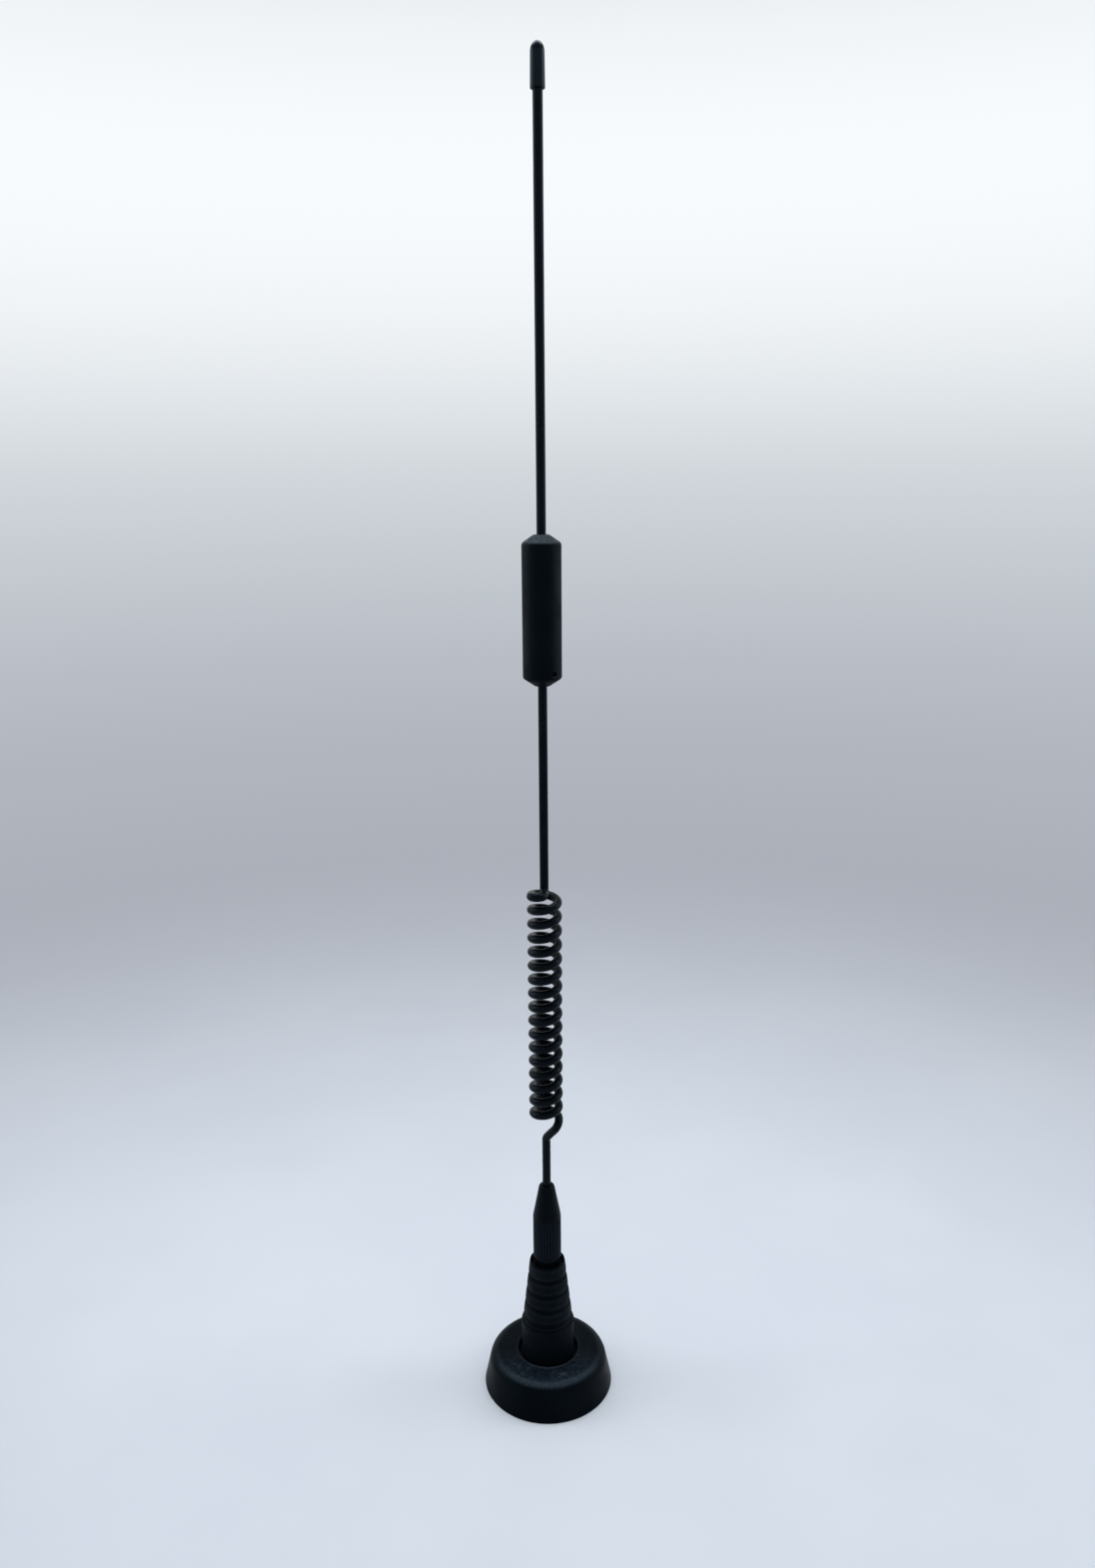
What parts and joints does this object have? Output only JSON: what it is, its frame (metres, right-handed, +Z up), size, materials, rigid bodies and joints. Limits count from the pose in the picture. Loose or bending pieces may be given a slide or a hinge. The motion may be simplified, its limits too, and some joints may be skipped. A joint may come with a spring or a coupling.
{
  "type": "magnetic mount antenna",
  "caption": "Black whip antenna with an open-air coil and a coil housing, screwed on to a ribbed boot in a round magnetic base with a cable inlet.",
  "frame": {"origin": "centre of the base's underside, on the whip's axis", "axes": "+Z up along the whip, front at -Y, cable inlet at +Y"},
  "size_m": [0.0554, 0.0554, 0.5263],
  "materials": {
    "cover_plastic": "fine moulded black plastic, satin, scuffed on top",
    "boot_rubber": "black moulded rubber, dull",
    "pad_rubber": "thin black protective pad, matte",
    "seal_rubber": "soft black rubber, matte",
    "coated_rod": "black coating over spring steel, semi-gloss",
    "ferrule_metal": "black plated turned metal, semi-gloss",
    "housing_plastic": "black moulded plastic, satin",
    "cap_plastic": "black moulded plastic, glossy",
    "magnet_ferrite": "ground dark grey ferrite",
    "plain_steel": "zinc plated steel",
    "brass": "plain turned brass",
    "white_nylon": "natural nylon",
    "copper_wire": "enamelled copper wire"
  },
  "bodies": {
    "base": {"bottom_pad": "pad_rubber", "ring_magnet": "magnet_ferrite", "steel_plate": "plain_steel", "base_cover": "cover_plastic", "plate_screws": "plain_steel", "cable_grommet": "boot_rubber", "stud": "brass", "stud_nut": "brass", "lock_washer": "plain_steel", "lower_bush": "white_nylon", "insulating_washer": "white_nylon", "centre_lug": "brass", "ground_tag": "brass", "insulator_post": "white_nylon", "ribbed_boot": "boot_rubber"},
    "seal": {"seal_ring": "seal_rubber"},
    "whip": {"ferrule": "ferrule_metal", "coiled_lower_rod": "coated_rod", "lower_end_cap": "ferrule_metal", "housing_set_screw": "plain_steel", "coil_former": "white_nylon", "phasing_winding": "copper_wire", "upper_rod_socket": "brass", "housing_shell": "housing_plastic", "upper_rod": "coated_rod", "tip_cap": "cap_plastic"}
  },
  "joints": [
    {"name": "whip_lift", "type": "slide", "parent": "base", "child": "seal", "axis": [0, 0, 1], "range_m": [0, 0.0095]},
    {"name": "whip_turn", "type": "hinge", "parent": "seal", "child": "whip", "pos_m": [0, 0, 0.06], "axis": [0, 0, 1], "range_deg": [0, 3420]}
  ],
  "couplings": [
    {"joint": "whip_turn", "follows": "whip_lift", "rad_per_m": 6283.2}
  ]
}
